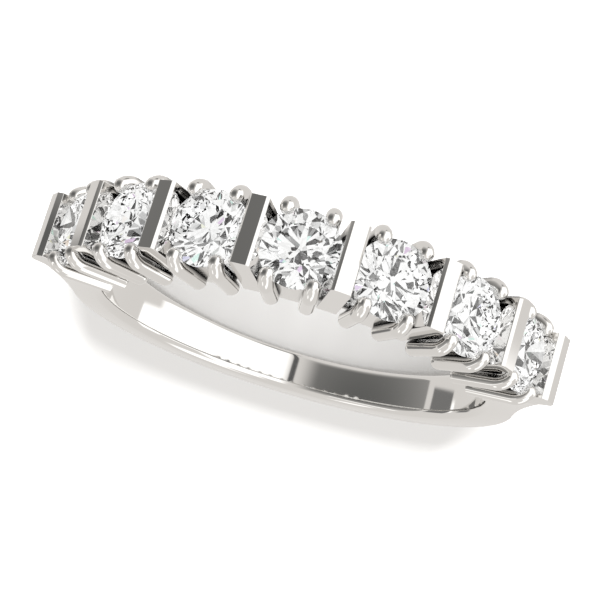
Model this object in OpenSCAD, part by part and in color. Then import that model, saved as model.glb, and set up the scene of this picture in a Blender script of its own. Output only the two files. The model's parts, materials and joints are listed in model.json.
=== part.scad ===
// Bar set band ring, lying on its side as it rests by itself.
// The stones face -Y, the finger hole runs close to Z, and the origin is the middle of the hole.
// Radial heights count from the wall of the finger hole, angles from the middle stone.

/* [Ring size] */
// Inside diameter of the finger hole
finger_d = 17.3; // [15:0.1:22]

/* [Stones] */
// Diameter of each round brilliant
stone_d = 3.3; // [2.6:0.05:3.8]
// Clearance between the point of a stone and the finger
culet_gap = 0.85; // [0.7:0.05:1.4]
// Gap between a stone and its seat
seat_gap = 0.02; // [0.01:0.005:0.04]
// How deep the edge of a stone sits in the side of a bar
bar_notch = 0.14; // [0.02:0.01:0.2]

/* [Bars] */
// Thickness of a bar
bar_w = 0.85; // [0.5:0.05:1]
// How far each end of a bar stops short of the edge of the stones
bar_inset = 0.19; // [0.05:0.01:0.35]
// Height of the bars over the tables of the stones
bar_proud = 0.36; // [0.1:0.02:0.6]
// Bevel along the top edges of a bar
bar_bevel = 0.12; // [0.02:0.01:0.2]
// Thickness of the two end bars
end_bar_w = 1; // [0.7:0.05:1.2]
// Bevel along the top edges of an end bar
end_bar_bevel = 0.2; // [0.02:0.01:0.3]
// How deep the edge of an end stone sits in the side of its end bar
end_bar_notch = 0.29; // [0.1:0.01:0.35]

/* [Prongs] */
// Diameter of the round tip of a prong
tip_d = 0.64; // [0.5:0.02:0.72]
// Diameter of the wire below the tip
wire_d = 0.69; // [0.55:0.02:0.74]
// Direction of the prongs around a stone, from the line of the stones
prong_turn = 57; // [54:1:60]
// Distance of a tip's middle outside the edge of the stone
tip_out = 0.06; // [0.02:0.01:0.12]
// Height of a tip's middle over the edge of the stone
tip_rise = 0.33; // [0.28:0.01:0.4]
// How far the wire bows out sideways from its tip
wire_bow = 0.27; // [0.2:0.01:0.35]
// Depth of the wire's bend below the edge of the stone
bend_drop = 0.25; // [0.15:0.05:0.5]
// Degrees by which the wire leans in again below its bend
wire_lean = 3; // [0:0.5:5]
// Gap between the rounded foot of a wire and the wall of the finger hole
foot_gap = 0.02; // [0.01:0.01:0.1]

/* [Gallery] */
// Thickness of the seat plates between two prongs
plate_t = 0.4; // [0.3:0.05:0.6]
// Thickness of the rail that lines the head
rail_t = 0.5; // [0.35:0.05:0.6]
// Distance of the rail's edges inside the ends of the bars
rail_inset = 0.31; // [0.15:0.01:0.35]
// Diameter of the hole drilled under each stone
azure_d = 1.6; // [1.2:0.1:1.9]

/* [Shank] */
// Thickness of the shank at the back
shank_back_t = 1.5; // [1.2:0.05:2.2]
// Thickness of the shank at the sides
shank_side_t = 1.4; // [1.1:0.05:1.8]
// Width of the shank at the back
shank_back_w = 1.76; // [1.5:0.02:2.6]
// Width of the rounding along the inner edges
comfort_w = 0.36; // [0.2:0.02:0.45]
// Degrees from the end bars to where the rounded inner edges start
comfort_start = 11.7; // [8:0.1:20]
// Height of the shoulders where they meet the end bars
shoulder_h = 2.75; // [2.3:0.05:3]
// Radius of the hollow curve from a shoulder to the shank
shoulder_blend_r = 12; // [8:0.5:20]

/* [Hidden] */
stones = 7;
$fn = 96;
// Length by which a cut runs past what it cuts
over = 1;

// Round brilliant, with lengths in shares of its radius
table_share = 0.57;
crown_angle = 34.5;
pavilion_angle = 40.8;
star_share = 0.5;
lower_half_share = 0.77;
girdle_share = 0.07;
// Steps of the girdle across one upper or lower half facet
half_steps = 4;
facets = 8;
facet_step = 360 / facets;

bore_r = finger_d / 2;
stone_r = stone_d / 2;
girdle_t = girdle_share * stone_r;
table_r = table_share * stone_r;
crown_h = (stone_r - table_r) * tan(crown_angle);
pavilion_h = stone_r * tan(pavilion_angle);
girdle_r = bore_r + culet_gap + pavilion_h + girdle_t / 2;
table_top_r = girdle_r + girdle_t / 2 + crown_h;

// Corner of a star facet, and of a lower half facet, on the line between two main facets
star_r = table_r * cos(facet_step / 2) + star_share * (stone_r - table_r * cos(facet_step / 2));
star_z = (stone_r - star_r * cos(facet_step / 2)) * tan(crown_angle);
lower_r = (1 - lower_half_share) * stone_r;
lower_z = (stone_r - lower_r * cos(facet_step / 2)) * tan(pavilion_angle);

// The bars stand where their sides take the edge of the stones by bar_notch
bar_reach = stone_r - bar_notch;
bar_half_angle = atan(bar_reach / girdle_r) + asin(bar_w / 2 / norm([girdle_r, bar_reach]));
pitch = 2 * bar_half_angle;
end_angle = pitch * stones / 2;
// The end bars don't point to the middle of the hole, but stand square beside the end stones
end_stone_angle = pitch * (stones - 1) / 2;
end_bar_side = stone_r - end_bar_notch + end_bar_w / 2;
bar_top_r = table_top_r + bar_proud;
bar_len = stone_d - 2 * bar_inset;

// Prongs lie in radial planes
tip_r = girdle_r + tip_rise;
tip_side = (stone_r + tip_out) * cos(prong_turn);
tip_z = (stone_r + tip_out) * sin(prong_turn);
prong_angle = atan(tip_side / tip_r);
bend_r = girdle_r - bend_drop;
bend_z = tip_z + wire_bow;
foot_r = bore_r + foot_gap + wire_d / 2;

rail_w = bar_len - 2 * rail_inset;

// Outer circle of the shank, moved back to make the back thicker than the sides
shank_r = bore_r + shank_side_t;
shank_shift = shank_back_t - shank_side_t;
back_y = shank_r + shank_shift;
shoulder_r = bore_r + shoulder_h;
// Top of the shoulder, on the outer face of the end bar
shoulder_side = end_bar_side + end_bar_w / 2;
shoulder_rise = sqrt(shoulder_r ^ 2 - shoulder_side ^ 2);
shoulder_top = [
    shoulder_rise * sin(end_stone_angle) + shoulder_side * cos(end_stone_angle),
    -shoulder_rise * cos(end_stone_angle) + shoulder_side * sin(end_stone_angle)
];
// The blend circle touches the outer circle and passes through the top of the shoulder
shank_mid = [0, shank_shift];
to_top = shoulder_top - shank_mid;
blend_far = shank_r + shoulder_blend_r;
blend_turn = acos((blend_far ^ 2 + norm(to_top) ^ 2 - shoulder_blend_r ^ 2) / (2 * blend_far * norm(to_top)));
blend_angle = atan2(to_top[1], to_top[0]) + blend_turn;
blend_mid = shank_mid + blend_far * [cos(blend_angle), sin(blend_angle)];
blend_start = shank_mid + shank_r * [cos(blend_angle), sin(blend_angle)];

// The sides of the shank narrow from the end bars to the back
taper = atan((bar_len - shank_back_w) / 2 / (back_y - shoulder_top[1]));
side_z_at_middle = shank_back_w / 2 + back_y * tan(taper);

// The rounding of the inner edges crosses the wall of the hole and the side of the shank at a slight angle
comfort_crease = 12;
comfort_r = comfort_w / (cos(comfort_crease) - sin(comfort_crease));
comfort_mid = comfort_r * cos(comfort_crease);

// At rest the ring stands on the bends of its two end prongs and on the edge of the shank's back
rest_prong_y = -bend_r * cos(end_stone_angle + prong_angle);
rest_drop = bend_z + wire_d / 2 - shank_back_w / 2;
rest_tilt = atan(rest_drop / (back_y - rest_prong_y));

// Turns children, built along +X, to an angle from the middle stone
module at_angle(angle) {
    rotate([0, 0, angle - 90]) children();
}

module at_stone(number) {
    at_angle((number - (stones + 1) / 2) * pitch)
        translate([girdle_r, 0, 0]) rotate([0, 90, 0]) children();
}

module lie_down() {
    rotate([-rest_tilt, 0, 0]) children();
}

module both_sides() {
    children();
    mirror([0, 0, 1]) children();
}

// One closed brilliant, its table up and the middle of its girdle at zero
function ring_point(r, angle, z) = [r * cos(angle), r * sin(angle), z];
function unit(v) = v / norm(v);
// Height at which a vertical line meets the plane through three points
function plane_z(a, b, c, p) =
    let (n = cross(b - a, c - a))
    a[2] - (n[0] * (p[0] - a[0]) + n[1] * (p[1] - a[1])) / n[2];
function half_low(step) = floor(step / half_steps);
// Height of the girdle's edge where a half facet, with its inner corner given, runs out
function rim_z(step, inner_r, inner_z, rim) =
    let (
        half_angle = facet_step / 2,
        low = half_low(step),
        a = ring_point(stone_r, low * half_angle, rim),
        b = ring_point(stone_r, (low + 1) * half_angle, rim),
        corner_angle = (low % 2 == 0 ? low + 1 : low) * half_angle,
        c = ring_point(inner_r, corner_angle, inner_z)
    )
    plane_z(a, b, c, ring_point(stone_r, step * half_angle / half_steps, 0));
rim_steps = 2 * facets * half_steps;
top_rim = girdle_t / 2;
stone_points = concat(
    [for (i = [0 : facets - 1]) ring_point(table_r, i * facet_step, top_rim + crown_h)],
    [for (i = [0 : facets - 1]) ring_point(star_r, (i + 0.5) * facet_step, top_rim + star_z)],
    [for (s = [0 : rim_steps - 1])
        ring_point(stone_r, s * 360 / rim_steps, rim_z(s, star_r, top_rim + star_z, top_rim))],
    [for (s = [0 : rim_steps - 1])
        ring_point(stone_r, s * 360 / rim_steps, -rim_z(s, lower_r, top_rim + lower_z, top_rim))],
    [for (i = [0 : facets - 1]) ring_point(lower_r, (i + 0.5) * facet_step, -top_rim - lower_z)],
    [[0, 0, -top_rim - pavilion_h]]
);
function table_at(i) = i % facets;
function star_at(i) = facets + (i + facets) % facets;
function top_at(s) = 2 * facets + (s + rim_steps) % rim_steps;
function low_at(s) = 2 * facets + rim_steps + (s + rim_steps) % rim_steps;
function lower_at(i) = 2 * facets + 2 * rim_steps + (i + facets) % facets;
culet = 3 * facets + 2 * rim_steps;
facet_steps = 2 * half_steps;
stone_faces = concat(
    [[for (i = [facets - 1 : -1 : 0]) table_at(i)]],
    [for (i = [0 : facets - 1]) [table_at(i), table_at(i + 1), star_at(i)]],
    [for (i = [0 : facets - 1]) [table_at(i), star_at(i), top_at(i * facet_steps), star_at(i - 1)]],
    [for (h = [0 : 2 * facets - 1])
        concat([star_at(floor(h / 2))],
            [for (s = [(h + 1) * half_steps : -1 : h * half_steps]) top_at(s)])],
    [for (s = [0 : rim_steps - 1]) [top_at(s), top_at(s + 1), low_at(s + 1), low_at(s)]],
    [for (h = [0 : 2 * facets - 1])
        concat([lower_at(floor(h / 2))],
            [for (s = [h * half_steps : (h + 1) * half_steps]) low_at(s)])],
    [for (i = [0 : facets - 1]) [culet, lower_at(i - 1), low_at(i * facet_steps), lower_at(i)]]
);

module stone(number) {
    color([0.93, 0.95, 0.97, 0.6])
    lie_down() at_stone(number) polyhedron(points = stone_points, faces = stone_faces);
}

// Turned shape around a stone that the metal keeps clear of
module seat_cut() {
    rotate_extrude() polygon([
        [0, -top_rim - pavilion_h - 2 * seat_gap],
        [lower_r + seat_gap, -top_rim - lower_z - seat_gap],
        [stone_r + seat_gap, -top_rim],
        [stone_r + seat_gap, top_rim],
        [star_r + seat_gap, top_rim + star_z + seat_gap],
        [table_r + seat_gap, top_rim + crown_h + seat_gap],
        [0, top_rim + crown_h + seat_gap]
    ]);
}

module bar(w, bevel) {
    half_w = w / 2;
    linear_extrude(height = bar_len, center = true) polygon([
        [bore_r - over, -half_w],
        [bar_top_r - bevel, -half_w],
        [bar_top_r, -half_w + bevel],
        [bar_top_r, half_w - bevel],
        [bar_top_r - bevel, half_w],
        [bore_r - over, half_w]
    ]);
}

// Round-ended wire between two places, each given as radius and height
module wire(d, from, to) {
    run = to - from;
    translate([from[0], 0, from[1]]) rotate([0, atan2(run[0], run[1]), 0])
        rotate_extrude() intersection() {
            union() {
                circle(d = d);
                translate([0, norm(run)]) circle(d = d);
                translate([-d / 2, 0]) square([d, norm(run)]);
            }
            translate([0, -d]) square([d, norm(run) + 2 * d]);
        }
}

// The wires of the end stones run through to the finger hole
module prong(foot) {
    wire(tip_d, [tip_r, tip_z], [bend_r, bend_z]);
    wire(wire_d, [bend_r, bend_z], [foot, bend_z - (bend_r - foot) * tan(wire_lean)]);
}

// Seat plates and prongs of one stone
module basket(foot) {
    plate_half_w = bore_r * tan(prong_angle);
    both_sides() {
        for (side = [-1, 1]) rotate([0, 0, side * prong_angle]) prong(foot);
        translate([bore_r - over, -plate_half_w, bar_len / 2 - plate_t])
            cube([girdle_r - bore_r + over, 2 * plate_half_w, plate_t]);
    }
}

// Slice of the ring's plane from the middle out to the end bars, on the stones' side
module head_slice(past) {
    far = 3 * bore_r;
    half = end_angle + past;
    polygon([
        [0, 0],
        far * [sin(-half), -cos(half)],
        far * [-1, -1],
        far * [1, -1],
        far * [sin(half), -cos(half)]
    ]);
}

module rail() {
    // Degrees by which the rail runs on into the shank
    overlap = 2;
    difference() {
        linear_extrude(height = rail_w, center = true) intersection() {
            circle(r = bore_r + rail_t);
            head_slice(overlap);
        }
        for (number = [1 : stones]) at_stone(number)
            translate([0, 0, -girdle_r]) cylinder(d = azure_d, h = girdle_r);
    }
}

module shoulder_outline() {
    difference() {
        polygon([
            shank_mid,
            blend_start,
            shoulder_top,
            shoulder_r * [sin(end_angle), -cos(end_angle)]
        ]);
        translate(blend_mid) circle(r = shoulder_blend_r, $fn = 360);
    }
}

module shank_outline() {
    // Degrees by which the shank stops short, inside the end bars
    short = 1;
    difference() {
        union() {
            translate(shank_mid) circle(r = shank_r);
            shoulder_outline();
            mirror([1, 0]) shoulder_outline();
        }
        head_slice(short);
    }
}

// Flat tapered sides
module taper_block() {
    head_y = -girdle_r;
    far_y = back_y + over;
    far_z = shank_back_w / 2 - over * tan(taper);
    rotate([90, 0, 90]) linear_extrude(height = 3 * finger_d, center = true) polygon([
        [head_y, -bar_len / 2],
        [shoulder_top[1], -bar_len / 2],
        [far_y, -far_z],
        [far_y, far_z],
        [shoulder_top[1], bar_len / 2],
        [head_y, bar_len / 2]
    ]);
}

// Ring of waste that leaves a rounded inner edge, tilted with the side of the shank
module comfort_cut() {
    first = end_angle + comfort_start;
    translate([0, 0, side_z_at_middle]) rotate([-taper, 0, 0])
        rotate([0, 0, first - 90]) rotate_extrude(angle = 360 - 2 * first) difference() {
            translate([bore_r - over, -comfort_mid]) square([over + comfort_mid, comfort_mid + over]);
            translate([bore_r + comfort_mid, -comfort_mid]) circle(r = comfort_r);
        }
}

module shank() {
    difference() {
        intersection() {
            linear_extrude(height = bar_len, center = true) shank_outline();
            taper_block();
        }
        both_sides() comfort_cut();
    }
}

// All the metal is cast and soldered into one piece
module band() {
    color("silver") lie_down() difference() {
        union() {
            shank();
            rail();
            for (number = [1 : stones - 1]) at_angle((number - stones / 2) * pitch)
                bar(bar_w, bar_bevel);
            for (side = [-1, 1]) at_angle(side * end_stone_angle)
                translate([0, side * end_bar_side, 0]) bar(end_bar_w, end_bar_bevel);
            for (number = [1 : stones]) at_angle((number - (stones + 1) / 2) * pitch)
                basket(number == 1 || number == stones ? bore_r - wire_d : foot_r);
        }
        cylinder(r = bore_r, h = 2 * stone_d, center = true);
        for (number = [1 : stones]) at_stone(number) seat_cut();
    }
}

band();
stone(1);  // stone_1
stone(2);  // stone_2
stone(3);  // stone_3
stone(4);  // stone_4
stone(5);  // stone_5
stone(6);  // stone_6
stone(7);  // stone_7
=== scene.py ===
import json
import math

import bmesh
import bpy
from mathutils import Matrix, Vector


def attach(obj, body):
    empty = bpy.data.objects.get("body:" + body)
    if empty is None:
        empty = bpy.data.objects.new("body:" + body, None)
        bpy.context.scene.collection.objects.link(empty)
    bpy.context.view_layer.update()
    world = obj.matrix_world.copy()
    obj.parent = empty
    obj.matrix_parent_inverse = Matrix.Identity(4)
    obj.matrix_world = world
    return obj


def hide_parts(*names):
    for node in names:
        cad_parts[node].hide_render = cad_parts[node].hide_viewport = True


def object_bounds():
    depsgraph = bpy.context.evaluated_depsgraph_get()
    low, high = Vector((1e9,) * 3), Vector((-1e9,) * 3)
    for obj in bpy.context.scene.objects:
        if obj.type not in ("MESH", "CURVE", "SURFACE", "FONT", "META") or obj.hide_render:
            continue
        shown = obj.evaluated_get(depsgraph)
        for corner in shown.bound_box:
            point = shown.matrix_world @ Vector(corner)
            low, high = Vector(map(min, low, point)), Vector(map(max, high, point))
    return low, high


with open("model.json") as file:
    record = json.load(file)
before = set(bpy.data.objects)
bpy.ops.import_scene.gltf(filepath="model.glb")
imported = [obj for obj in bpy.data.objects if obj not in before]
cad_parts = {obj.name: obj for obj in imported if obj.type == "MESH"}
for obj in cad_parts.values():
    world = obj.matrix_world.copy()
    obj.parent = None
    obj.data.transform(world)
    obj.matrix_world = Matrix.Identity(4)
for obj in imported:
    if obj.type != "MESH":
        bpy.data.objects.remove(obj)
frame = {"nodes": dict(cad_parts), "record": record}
cad_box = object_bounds()

# The shank is the plain part of the band, round the back of the finger. It is cast in white gold,
# filed flat on its sides, which narrow to the back, and rounded along its inner edges. Its two ends
# rise in hollow shoulders to the head. It is buffed bright and rhodium plated with the other metal.
mm = 0.001
hole = frame["record"]["mounts"][0]
hole_r = hole["dims"]["r_mm"] * mm
head_width = hole["dims"]["length_mm"] * mm
ring_lean = math.atan2(hole["axis"][1], hole["axis"][2])
lie_down = Matrix.Rotation(-ring_lean, 4, "X")


def stone_corners(number):
    """The corners of a stone with the ring stood up, the finger hole's axis upright"""
    stand_up = lie_down.inverted()
    return [stand_up @ corner.co for corner in frame["nodes"][f"stone_{number}"].data.vertices]


def stone_turn(number):
    """How far a stone is turned round the ring from the middle stone, which faces -Y"""
    corners = stone_corners(number)
    middle = sum(corners, Vector()) / len(corners)
    return math.atan2(middle.x, -middle.y)


stone_turns = [stone_turn(number) for number in range(1, 8)]
pitch = (stone_turns[6] - stone_turns[0]) / 6
end_turn = 3.5 * pitch
stone_r = max(corner.x for corner in stone_corners(4))


def turn_to(turn):
    """Turns what is built outwards along +X to its place round the ring"""
    return Matrix.Rotation(turn - math.pi / 2, 4, "Z")


class Level:
    """A number in a finish. Sums with it add Math nodes."""

    def __init__(self, socket):
        self.socket = socket

    def math(self, operation, *values):
        recipe = Recipe(self.socket.id_data)
        return recipe.node("ShaderNodeMath", {"operation": operation}, dict(enumerate(values)))

    def __add__(self, other):
        return self.math("ADD", self, other)

    def __sub__(self, other):
        return self.math("SUBTRACT", self, other)

    def __rsub__(self, other):
        return self.math("SUBTRACT", other, self)

    def __mul__(self, other):
        return self.math("MULTIPLY", self, other)

    def __truediv__(self, other):
        return self.math("DIVIDE", self, other)

    __radd__ = __add__
    __rmul__ = __mul__


class Recipe:
    """The nodes of one finish, or of the room's light."""

    def __init__(self, tree):
        self.tree = tree

    def node(self, kind, settings, sockets, output=0):
        """Adds a node, sets it up, feeds its sockets, and gives back one of its outputs"""
        made = self.tree.nodes.new(kind)
        for setting, value in settings.items():
            setattr(made, setting, value)
        for socket, value in sockets.items():
            if isinstance(value, Level):
                self.tree.links.new(value.socket, made.inputs[socket])
            else:
                made.inputs[socket].default_value = value
        return Level(made.outputs[output])


def new_finish(name):
    """A bare material, its recipe and its surface shader"""
    finish = bpy.data.materials.new(name)
    finish.use_nodes = True
    return finish, Recipe(finish.node_tree), finish.node_tree.nodes["Principled BSDF"]


def feed(surface, socket, level):
    surface.id_data.links.new(level.socket, surface.inputs[socket])


rhodium = (0.79, 0.78, 0.765, 1.0)


def white_gold(name, gloss, marks, stretch):
    """Rhodium plate over white gold, with the faint marks of its last polish"""
    plate, recipe, surface = new_finish(name)
    place = recipe.node("ShaderNodeTexCoord", {}, {}, "Object")
    along = recipe.node("ShaderNodeMapping", {}, {"Vector": place, "Scale": stretch})
    hairlines = recipe.node(
        "ShaderNodeTexNoise", {}, {"Vector": along, "Scale": 1.0, "Detail": 4.0, "Roughness": 0.6}
    )
    cloud = recipe.node("ShaderNodeTexNoise", {}, {"Vector": place, "Scale": 700.0, "Detail": 3.0})
    feed(surface, "Roughness", gloss + marks * hairlines + 0.02 * cloud)
    relief = hairlines * 0.25 + cloud
    bump = recipe.node(
        "ShaderNodeBump", {}, {"Strength": 1.0, "Distance": 0.0004 * mm, "Height": relief}
    )
    feed(surface, "Normal", bump)
    surface.inputs["Metallic"].default_value = 1.0
    surface.inputs["Base Color"].default_value = rhodium
    return plate


def finish_piece(name, metal, plate, crease=30):
    """Lays a piece down as the ring lies, and makes it a smooth object with crisp edges"""
    bmesh.ops.recalc_face_normals(metal, faces=metal.faces)
    metal.transform(lie_down)
    mesh = bpy.data.meshes.new(name)
    metal.to_mesh(mesh)
    metal.free()
    mesh.shade_smooth()
    mesh.set_sharp_from_angle(angle=math.radians(crease))
    mesh.materials.append(plate)
    piece = bpy.data.objects.new(name, mesh)
    bpy.context.scene.collection.objects.link(piece)
    # The stones are so lively that no metal is made out through them, only the light of the room
    piece.visible_transmission = False
    return piece


def flatten_shading(piece):
    """Keeps the flats of a piece flat beside its rounded edges"""
    even = piece.modifiers.new("even", "WEIGHTED_NORMAL")
    even.keep_sharp = True
    even.weight = 80


shank_side_t = 1.4 * mm
shank_back_t = 1.5 * mm
shank_back_width = 1.76 * mm
comfort_round = 0.36 * mm
shank_start = end_turn + math.radians(1)
comfort_start = end_turn + math.radians(11.7)
shoulder_h = 2.75 * mm
shoulder_hollow_r = 12 * mm
outer_edge = 0.03 * mm
end_bar_width = 1.0 * mm
end_bar_notch = 0.29 * mm
end_bar_side = stone_r - end_bar_notch + end_bar_width / 2

outside_r = hole_r + shank_side_t
outside_mid = Vector((0, shank_back_t - shank_side_t))
# The shoulder ends at the outer face of the end bar, which stands square beside the end stone
shoulder_side = end_bar_side + end_bar_width / 2
shoulder_rise = math.sqrt((hole_r + shoulder_h) ** 2 - shoulder_side**2)
shoulder_top = (turn_to(3 * pitch) @ Vector((shoulder_rise, shoulder_side, 0))).xy
# The hollow touches the outside of the shank and runs up to the top of the shoulder
to_top = shoulder_top - outside_mid
hollow_far = outside_r + shoulder_hollow_r
hollow_turn = math.atan2(to_top.y, to_top.x) + math.acos(
    (hollow_far**2 + to_top.length_squared - shoulder_hollow_r**2) / (2 * hollow_far * to_top.length)
)
hollow_mid = outside_mid + hollow_far * Vector((math.cos(hollow_turn), math.sin(hollow_turn)))
hollow_end = outside_mid + outside_r * Vector((math.cos(hollow_turn), math.sin(hollow_turn)))
back_y = outside_r + outside_mid.y
narrowing = (head_width - shank_back_width) / 2 / (back_y - shoulder_top.y)


def shank_outside(way):
    """How far the outside of the shank is from the hole's axis, in a direction"""
    way = Vector((abs(way.x), way.y))
    if way.y * hollow_end.x < hollow_end.y * way.x:
        near = way.dot(hollow_mid)
        return near - math.sqrt(shoulder_hollow_r**2 - hollow_mid.length_squared + near**2)
    near = way.dot(outside_mid)
    return near + math.sqrt(outside_r**2 - outside_mid.length_squared + near**2)


def new_ring(grown):
    """The edges and corners at the free end of what was just extruded"""
    corners = [part for part in grown if isinstance(part, bmesh.types.BMVert)]
    edges = {edge for corner in corners for edge in corner.link_edges}
    return corners, [edge for edge in edges if all(end in corners for end in edge.verts)]


shank = bmesh.new()
bmesh.ops.create_grid(
    shank,
    x_segments=1,
    y_segments=1,
    size=0.5,
    matrix=Matrix.Translation((hole_r + shank_side_t / 2, 0, 0))
    @ Matrix.Rotation(math.pi / 2, 4, "X")
    @ Matrix.Diagonal((shank_side_t, shank_back_width, 1, 1)),
)
for corners_at, width, steps in ((hole_r, comfort_round, 8), (hole_r + shank_side_t, outer_edge, 2)):
    bmesh.ops.bevel(
        shank,
        geom=[corner for corner in shank.verts if abs(corner.co.x - corners_at) < outer_edge / 2],
        offset=width,
        segments=steps,
        profile=0.5,
        affect="VERTICES",
        material=-1,
    )
bmesh.ops.delete(shank, geom=shank.faces[:], context="FACES_ONLY")


def draw_rounding(corners, width, grow):
    """Makes the rounding of the inner edges, now of this width, grow or shrink"""
    for corner in corners:
        way = Vector((corner.co.x, corner.co.y)).normalized()
        place = Vector((math.hypot(corner.co.x, corner.co.y), corner.co.z))
        edge = Vector((hole_r, math.copysign(shank_back_width / 2, corner.co.z)))
        if (place - edge).length < 1.01 * width:
            place = edge + (place - edge) * grow
            corner.co = (*(way * place.x), place.y)


# The rounding starts below the shoulders. Up to there the inner edges are almost sharp
sharp_share = 0.08
sharp_round = sharp_share * comfort_round
draw_rounding(shank.verts, comfort_round, sharp_share)
bmesh.ops.transform(shank, matrix=turn_to(shank_start), verts=shank.verts)
ring = shank.verts[:] + shank.edges[:]
for angle, steps, width, grow in (
    (comfort_start - shank_start, 10, sharp_round, 1 / sharp_share),
    (2 * (math.pi - comfort_start), 160, comfort_round, sharp_share),
    (comfort_start - shank_start, 10, sharp_round, 1),
):
    ring = bmesh.ops.spin(
        shank, geom=ring, cent=(0, 0, 0), axis=(0, 0, 1), dvec=(0, 0, 0), angle=angle, steps=steps
    )["geom_last"]
    if grow != 1:
        edges = [part for part in ring if isinstance(part, bmesh.types.BMEdge)]
        corners, edges = new_ring(bmesh.ops.extrude_edge_only(shank, edges=edges)["geom"])
        draw_rounding(corners, width, grow)
        ring = corners + edges
bmesh.ops.remove_doubles(shank, verts=shank.verts, dist=0.0001 * mm)
bmesh.ops.holes_fill(shank, edges=shank.edges, sides=0)
for corner in shank.verts:
    out = math.hypot(corner.co.x, corner.co.y)
    way = Vector((corner.co.x, corner.co.y)) / out
    if out > hole_r + shank_side_t / 2:
        out += shank_outside(way) - hole_r - shank_side_t
    along = max(way.y * out, shoulder_top.y)
    more = (back_y - along) * narrowing
    corner.co = (way.x * out, way.y * out, corner.co.z + math.copysign(more, corner.co.z))
shank = finish_piece("shank", shank, white_gold("buffed_white_gold", 0.03, 0.02, (900, 900, 9000)))
flatten_shading(shank)
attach(shank, "root")
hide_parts("band")

# The rail lines the finger hole behind the stones and ties the bars together. It is a curved strip of
# the same casting, drilled once under each stone to lighten it and to let light and a brush in.
rail_t = 0.5 * mm
rail_inset = 0.31 * mm
rail_past = math.radians(2)
drilled_r = 0.8 * mm
# Near-black colour painted into the metal as shade in the narrow gaps under the stones
painted_gap_shade = (0.02, 0.02, 0.02, 1.0)
edge_heights = [-corner.y for corner in stone_corners(4) if corner.x > 0.999 * stone_r]
girdle_r = (max(edge_heights) + min(edge_heights)) / 2


def paint_gap_shade(plate):
    """Paints shade into the metal's colour, near black where ambient occlusion finds it closed in, in the
    narrow gaps below the stones' edges; from the stones' girdle up it keeps its plain colour
    """
    recipe, surface = Recipe(plate.node_tree), plate.node_tree.nodes["Principled BSDF"]
    place = recipe.node("ShaderNodeTexCoord", {}, {}, "Object")
    open_air = recipe.node("ShaderNodeAmbientOcclusion", {"samples": 8}, {"Distance": 1.0 * mm}, "AO")
    reach = recipe.node("ShaderNodeMapRange", {}, {"Value": open_air, "From Min": 0.25, "From Max": 0.6})
    across = recipe.node(
        "ShaderNodeVectorMath", {"operation": "CROSS_PRODUCT"}, {0: place, 1: hole["axis"]}
    )
    height = recipe.node("ShaderNodeVectorMath", {"operation": "LENGTH"}, {0: across}, "Value")
    top = recipe.node(
        "ShaderNodeMapRange", {}, {"Value": height, "From Min": girdle_r - 0.3 * mm, "From Max": girdle_r}
    )
    share = reach.math("MAXIMUM", reach, top)
    colour = recipe.node(
        "ShaderNodeMix", {"data_type": "RGBA"}, {"Factor": share, 6: painted_gap_shade, 7: rhodium}, 2
    )
    feed(surface, "Base Color", colour)
    return plate


rail = bmesh.new()
bmesh.ops.create_grid(
    rail,
    x_segments=1,
    y_segments=1,
    size=0.5,
    matrix=turn_to(-end_turn - rail_past)
    @ Matrix.Translation((hole_r + rail_t / 2, 0, 0))
    @ Matrix.Rotation(math.pi / 2, 4, "X")
    @ Matrix.Diagonal((rail_t, head_width - 2 * rail_inset, 1, 1)),
)
bmesh.ops.bevel(
    rail, geom=rail.verts[:], offset=0.04 * mm, segments=2, profile=0.5, affect="VERTICES", material=-1
)
bmesh.ops.delete(rail, geom=rail.faces[:], context="FACES_ONLY")
bmesh.ops.spin(
    rail,
    geom=rail.verts[:] + rail.edges[:],
    cent=(0, 0, 0),
    axis=(0, 0, 1),
    dvec=(0, 0, 0),
    angle=2 * (end_turn + rail_past),
    steps=144,
)
bmesh.ops.holes_fill(rail, edges=rail.edges, sides=0)


def cut_away(piece, waste):
    """Takes a shape of waste out of a piece"""
    cut = piece.modifiers.new("cut", "BOOLEAN")
    cut.operation = "DIFFERENCE"
    cut.solver = "EXACT"
    cut.object = waste
    bpy.context.view_layer.update()
    shaped = piece.evaluated_get(bpy.context.evaluated_depsgraph_get())
    piece.data = bpy.data.meshes.new_from_object(shaped)
    piece.modifiers.clear()
    piece.data.shade_smooth()
    piece.data.set_sharp_from_angle(angle=math.radians(30))


drill = bmesh.new()
through = Matrix.Translation((hole_r + rail_t / 2, 0, 0)) @ Matrix.Rotation(math.pi / 2, 4, "Y")
for turn in stone_turns:
    bmesh.ops.create_cone(
        drill,
        cap_ends=True,
        segments=48,
        radius1=drilled_r,
        radius2=drilled_r,
        depth=3 * rail_t,
        matrix=turn_to(turn) @ through,
    )
# This gold has shade painted into its colour in the gaps under the stones
rubbed = paint_gap_shade(white_gold("rubbed_white_gold_painted_shade", 0.03, 0.02, (900, 900, 9000)))
rail = finish_piece("rail", rail, rubbed)
drill = finish_piece("drill", drill, rubbed)
cut_away(rail, drill)
bpy.data.objects.remove(drill)
flatten_shading(rail)
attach(rail, "root")
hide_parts("band")

# Eight flat bars stand upright between the stones and at both ends of the row, a little higher than
# the stones. They are of the same white gold, soldered to the rail, lapped flat and lightly bevelled,
# and the setter cuts a seat for the edge of each stone into their sides.
bar_proud = 0.36 * mm
bar_width = 0.85 * mm
bar_bevel = 0.12 * mm
end_bar_bevel = 0.2 * mm
bar_softening = 0.015 * mm
seat_gap = 0.02 * mm
table_r = max(-corner.y for corner in stone_corners(4))
bar_top_r = table_r + bar_proud
bar_foot_r = hole_r - 0.5 * mm


def put_on(piece, part):
    """Puts a part on the piece that it belongs to"""
    shape = bpy.data.meshes.new("part")
    part.to_mesh(shape)
    part.free()
    piece.from_mesh(shape)
    bpy.data.meshes.remove(shape)


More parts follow.
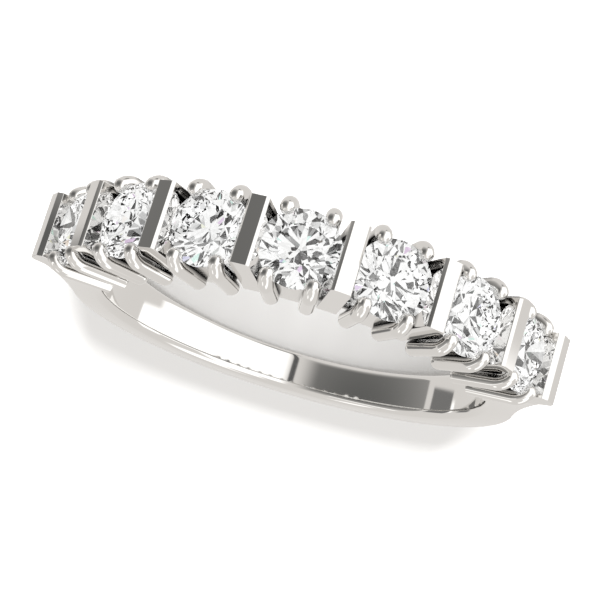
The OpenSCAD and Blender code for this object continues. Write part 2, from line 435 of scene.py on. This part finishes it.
def add_bar(bars, width, bevel, place):
    """Adds a bar, built outwards along +X, with its two long top edges bevelled"""
    bar = bmesh.new()
    bmesh.ops.create_cube(
        bar,
        size=1,
        matrix=Matrix.Translation(((bar_top_r + bar_foot_r) / 2, 0, 0))
        @ Matrix.Diagonal((bar_top_r - bar_foot_r, width, head_width, 1)),
    )
    long_top_edges = [edge for edge in bar.edges if all(end.co.x > girdle_r for end in edge.verts)]
    long_top_edges = [edge for edge in long_top_edges if edge.calc_length() > 0.99 * head_width]
    for edges, offset, steps in ((long_top_edges, bevel, 1), (None, bar_softening, 2)):
        bmesh.ops.bevel(
            bar,
            geom=edges or bar.edges[:],
            offset=offset,
            segments=steps,
            profile=0.5,
            affect="EDGES",
            clamp_overlap=True,
            material=-1,
        )
    bar.transform(place)
    put_on(bars, bar)


bars = bmesh.new()
for place in range(-5, 6, 2):
    add_bar(bars, bar_width, bar_bevel, turn_to(place / 2 * pitch))
# The end bars are thicker and stand square beside the end stones
for end in (-1, 1):
    beside = Matrix.Translation((0, end * end_bar_side, 0))
    add_bar(bars, end_bar_width, end_bar_bevel, turn_to(end * 3 * pitch) @ beside)
# This gold has shade painted into its colour in the gaps under the stones
lapped = paint_gap_shade(white_gold("lapped_white_gold_painted_shade", 0.025, 0.02, (6000, 6000, 700)))
bars = finish_piece("bars", bars, lapped)


def setting_bur():
    """The room that the setter clears for the stones: each stone's own shape, a gap larger"""
    bur = bmesh.new()
    for number, turn in enumerate(stone_turns, 1):
        stone = bmesh.new()
        stone.from_mesh(frame["nodes"][f"stone_{number}"].data)
        bmesh.ops.remove_doubles(stone, verts=stone.verts, dist=0.0005 * mm)
        stone.transform(lie_down.inverted())
        middle = turn_to(turn) @ Vector((girdle_r, 0, 0))
        swell = Matrix.Scale(1 + seat_gap / stone_r, 4)
        stone.transform(Matrix.Translation(middle) @ swell @ Matrix.Translation(-middle))
        put_on(bur, stone)
    return finish_piece("setting_bur", bur, lapped)


reamer = bmesh.new()
bmesh.ops.create_cone(
    reamer, cap_ends=True, segments=256, radius1=hole_r, radius2=hole_r, depth=4 * head_width
)
reamer = finish_piece("reamer", reamer, lapped)
bur = setting_bur()
cut_away(bars, reamer)
cut_away(bars, bur)
flatten_shading(bars)
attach(bars, "root")
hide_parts("band")

# A small seat plate closes each side of the head under every stone, between its two claws. It is sheet
# of the same metal, soldered in upright, with its top edge cut to the underside of the stone.
claw_half_turn = math.radians(4.7066)
plate_t = 0.4 * mm
plate_half_width = hole_r * math.tan(claw_half_turn)
plates = bmesh.new()
for turn in stone_turns:
    for side in (-1, 1):
        bmesh.ops.create_cube(
            plates,
            size=1,
            matrix=turn_to(turn)
            @ Matrix.Translation(((girdle_r + bar_foot_r) / 2, 0, side * (head_width - plate_t) / 2))
            @ Matrix.Diagonal((girdle_r - bar_foot_r, 2 * plate_half_width, plate_t, 1)),
        )
plates = finish_piece("seat_plates", plates, lapped)
cut_away(plates, reamer)
cut_away(plates, bur)
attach(plates, "root")
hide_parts("band")

# Four round wire claws hold each stone. Each is a wire of the same metal that bows out over the head,
# bends, and runs down beside the bars to the finger hole; its ball tip is burnished over the stone.
tip_claw_r = 0.32 * mm
wire_r = 0.345 * mm
tip_height = girdle_r + 0.33 * mm
tip_side = 1.43413 * mm
bend_height = girdle_r - 0.25 * mm
bend_side = tip_side + 0.27 * mm
wire_lean = math.tan(math.radians(3))
foot_height = hole_r + 0.02 * mm + wire_r
end_foot_height = hole_r - 2 * wire_r
# The tip's half of the wire is bent round an arc that starts level at the bend
chord = Vector((tip_height - bend_height, bend_side - tip_side))
bend_angle = 2 * math.atan2(chord.y, chord.x)
bend_r = chord.length / (2 * math.sin(bend_angle / 2))


def bend_wire(corner):
    """Bends a straight wire that lies along +X at the height of its bend"""
    past = corner.x - bend_height
    middle = bend_side - bend_r
    if past < 0:
        return Vector((corner.x, corner.y, corner.z + past * wire_lean))
    turned = min(past / bend_r, bend_angle)
    thin = 1 - (1 - tip_claw_r / wire_r) * turned / bend_angle
    far = bend_r + (corner.z - bend_side) * thin
    on = past - turned * bend_r
    return Vector(
        (
            bend_height + far * math.sin(turned) + on * thin * math.cos(turned),
            corner.y * thin,
            middle + far * math.cos(turned) - on * thin * math.sin(turned),
        )
    )


def add_claw(claws, foot, place, rings=24):
    """Adds a claw: a straight wire with round ends, bent and put in its place"""
    straight = bmesh.new()
    # An odd count of bands leaves a level band at the middle, which becomes the length of the wire
    bands = 13
    ball = wire_r / math.cos(math.pi / 2 / bands)
    bmesh.ops.create_uvsphere(straight, u_segments=28, v_segments=bands, radius=ball)
    tip = bend_height + bend_angle * bend_r
    for corner in straight.verts:
        corner.co.z += tip if corner.co.z > 0 else foot
    long_edges = [edge for edge in straight.edges if edge.calc_length() > (tip - foot) / 2]
    bmesh.ops.subdivide_edges(straight, edges=long_edges, cuts=rings, use_grid_fill=True)
    straight.transform(Matrix.Translation((0, 0, bend_side)) @ Matrix.Rotation(math.pi / 2, 4, "Y"))
    for corner in straight.verts:
        corner.co = bend_wire(corner.co)
    straight.transform(place)
    put_on(claws, straight)


claws = bmesh.new()
for turn in stone_turns:
    foot = end_foot_height if turn in (stone_turns[0], stone_turns[-1]) else foot_height
    for side in (-1, 1):
        for height in (-1, 1):
            place = turn_to(turn + side * claw_half_turn) @ Matrix.Diagonal((1, 1, height, 1))
            add_claw(claws, foot, place)
# This gold has shade painted into its colour in the gaps under the stones
burnished = paint_gap_shade(white_gold("burnished_white_gold_painted_shade", 0.03, 0.015, (1500, 1500, 1500)))
claws = finish_piece("claws", claws, burnished, crease=40)
cut_away(claws, reamer)
cut_away(claws, bur)
for tool in (reamer, bur):
    bpy.data.objects.remove(tool)
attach(claws, "root")
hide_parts("band")

# Seven round brilliants, each about 0.14 carat and cut with 57 flat polished facets. They are clear
# diamond, with a finely ground girdle, and lie in their seats under the claws.
for number, turn in enumerate(stone_turns, 1):
    diamond, recipe, surface = new_finish(f"brilliant_{number}")
    place = recipe.node("ShaderNodeTexCoord", {}, {}, "Object")
    speck = recipe.node("ShaderNodeTexNoise", {}, {"Vector": place, "Scale": 3000.0, "Detail": 2.0})
    feed(surface, "Roughness", 0.004 * speck)
    # Painted glow: past three glossy bounces inside the stone its surface gives off light of its own in
    # scattered cells, standing in for light that has run round inside the stone many times and comes out
    # about as bright as the room
    runs = recipe.node("ShaderNodeLightPath", {}, {}, "Glossy Depth")
    late = recipe.node("ShaderNodeMath", {"operation": "GREATER_THAN"}, {0: runs, 1: 3.5})
    painted_glow_cells = recipe.node("ShaderNodeTexVoronoi", {}, {"Vector": place, "Scale": 3500.0}, "Color")
    painted_glow_cell = recipe.node("ShaderNodeSeparateColor", {}, {"Color": painted_glow_cells})
    bright = recipe.node("ShaderNodeMath", {"operation": "GREATER_THAN"}, {0: painted_glow_cell, 1: 0.55})
    feed(surface, "Emission Color", late * bright)
    surface.inputs["Emission Strength"].default_value = 0.85
    surface.inputs["Base Color"].default_value = (0.995, 0.997, 1.0, 1.0)
    surface.inputs["IOR"].default_value = 2.42
    surface.inputs["Specular Tint"].default_value = (0.5, 0.5, 0.5, 1.0)
    surface.inputs["Transmission Weight"].default_value = 1.0
    stone = frame["nodes"][f"stone_{number}"]
    stone.data.materials.clear()
    stone.data.materials.append(diamond)

# The table under the ring is plain white card.
card_size = 4.0
floor_z = cad_box[0].z
floor = bmesh.new()
bmesh.ops.create_grid(
    floor, x_segments=1, y_segments=1, size=card_size / 2, matrix=Matrix.Translation((0, 0, floor_z))
)
card, recipe, surface = new_finish("white_card")
place = recipe.node("ShaderNodeTexCoord", {}, {}, "Object")
grain = recipe.node("ShaderNodeTexNoise", {}, {"Vector": place, "Scale": 800.0, "Detail": 3.0})
feed(surface, "Roughness", 0.85 + 0.1 * grain)
surface.inputs["Base Color"].default_value = (0.86, 0.86, 0.86, 1.0)
surface.inputs["Specular IOR Level"].default_value = 0.0
shape = bpy.data.meshes.new("floor")
floor.to_mesh(shape)
floor.free()
shape.materials.append(card)
floor = bpy.data.objects.new("floor", shape)
bpy.context.scene.collection.objects.link(floor)
floor.visible_glossy = False
floor.visible_transmission = False

# The studio is a bright tent of warm light grey cloth. A large white panel stands on the side of the
# ring's -X end and a dark grey board on the other, both near the camera, with a thin pole between them.
room = bpy.data.worlds.new("light_tent")
room.use_nodes = True
bpy.context.scene.world = room
recipe = Recipe(room.node_tree)
look = recipe.node("ShaderNodeTexCoord", {}, {}, "Generated")
split = recipe.node("ShaderNodeSeparateXYZ", {}, {"Vector": look}).socket.node
look_x, look_y, look_z = (Level(split.outputs[axis]) for axis in "XYZ")
# Degrees to the side, from the middle stone's front, and up
turned = look_x.math("ARCTAN2", 0 - look_x, 0 - look_y) * math.degrees(1)
raised = look_z.math("ARCSINE", look_z) * math.degrees(1)


def ramp(level, low, high):
    """Rises softly from 0 to 1 between two values"""
    return recipe.node(
        "ShaderNodeMapRange",
        {"interpolation_type": "SMOOTHSTEP"},
        {"Value": level, "From Min": low, "From Max": high},
    )


def panel(left, right, low, high, soft):
    """A panel of the tent, by its edges in degrees and the softness of its edge"""
    across = ramp(turned, left - soft, left + soft) * (1 - ramp(turned, right - soft, right + soft))
    up = ramp(raised, low - soft, low + soft) * (1 - ramp(raised, high - soft, high + soft))
    return across * up


def lay_over(under, over, share):
    return recipe.node(
        "ShaderNodeMix", {"data_type": "RGBA"}, {"Factor": share, 6: under, 7: over}, 2
    )


cloth = (0.81, 0.787, 0.76, 1.0)
white = (1.45, 1.44, 1.42, 1.0)
grey = (0.21, 0.208, 0.204, 1.0)
black = (0.12, 0.12, 0.12, 1.0)
# The board is darkest in its middle and catches the light of the cloth at its edges
board_up, board_side = (raised + 2) / 65, (turned + 45) / 95
board = panel(-91, 0, -60, 52, 0.7) * (1 - ramp(turned, -17, -2))
board = board * (1 - board_up * board_up - board_side * board_side)
tent = lay_over(cloth, (0.135, 0.135, 0.131, 1.0), board)
tent = lay_over(tent, white, panel(3, 94, -62, 10, 3))
tent = lay_over(tent, white, panel(3, 60, 0, 50, 4))
tent = lay_over(tent, white, panel(25, 160, 50, 71, 3))
tent = lay_over(tent, white, panel(-145, -105, 60, 70, 3))
tent = lay_over(tent, white, panel(-104, -34, 46, 51, 1.5))
tent = lay_over(tent, white, panel(92, 110, -16.2, 18, 0.8))
tent = lay_over(tent, grey, panel(-115.5, -96, -16.6, 18, 0.7))
tent = lay_over(tent, white, panel(-119, -116, -14.5, 10, 1))
tent = lay_over(tent, grey, panel(-140, -125, -8, 8, 3))
tent = lay_over(tent, grey, panel(-10, 50, -82, -70, 3))
tent = lay_over(tent, black, panel(-2.2, 1.2, -80, 0, 0.6))
# Rays that have passed through a stone see no tent but a painted scatter of small bright and dark
# patches, a few of them coloured, which stands in for the stones' sparkle and fire
flicker = recipe.node("ShaderNodeTexVoronoi", {}, {"Vector": look, "Scale": 8.0}, "Color")
chance = recipe.node("ShaderNodeSeparateColor", {}, {"Color": flicker}).socket.node
first, second, third = (Level(chance.outputs[channel]) for channel in range(3))
painted_fire = recipe.node("ShaderNodeCombineColor", {"mode": "HSV"}, {0: third, 1: 0.25, 2: 0.9})
painted_sparkle = lay_over((0.02, 0.02, 0.02, 1.0), (1.02, 1.02, 1.01, 1.0), ramp(first, 0.2, 0.52))
painted_sparkle = lay_over(painted_sparkle, painted_fire, ramp(second, 0.97, 0.98))
ray = recipe.node("ShaderNodeLightPath", {}, {}).socket.node
tent = lay_over(tent, painted_sparkle, Level(ray.outputs["Is Transmission Ray"]))
background = room.node_tree.nodes["Background"]
room.node_tree.links.new(tent.socket, background.inputs["Color"])
background.inputs["Strength"].default_value = 1.0

# One wide soft lamp stands just above the floor behind the camera and throws the ring's shadow back.
lamp = bpy.data.lights.new("soft_lamp", "SUN")
lamp.energy = 38.0
lamp.angle = math.radians(12)
lamp = bpy.data.objects.new("soft_lamp", lamp)
lamp.rotation_euler = (math.radians(84), 0, math.radians(-5))
lamp.visible_glossy = False
lamp.visible_transmission = False
bpy.context.scene.collection.objects.link(lamp)

# The camera stands low over the floor in front of the stones, turned over so that the ring hangs as
# it is usually shown.
aim = Vector((0.2477, -0.3631, -0.9442)) * mm
camera_far = 92.471 * mm
camera_side = math.radians(-4.494)
camera_raised = math.radians(19.94)
camera_roll = math.radians(-162.654)
view = bpy.data.cameras.new("camera")
view.lens = 126.51
view.clip_start = 0.005
camera = bpy.data.objects.new("camera", view)
turned_camera = (
    Matrix.Rotation(camera_side, 4, "Z")
    @ Matrix.Rotation(math.pi / 2 - camera_raised, 4, "X")
    @ Matrix.Rotation(camera_roll, 4, "Z")
)
camera.matrix_world = Matrix.Translation(aim) @ turned_camera @ Matrix.Translation((0, 0, camera_far))
bpy.context.scene.collection.objects.link(camera)
bpy.context.scene.camera = camera
bpy.context.scene.view_settings.view_transform = "Standard"
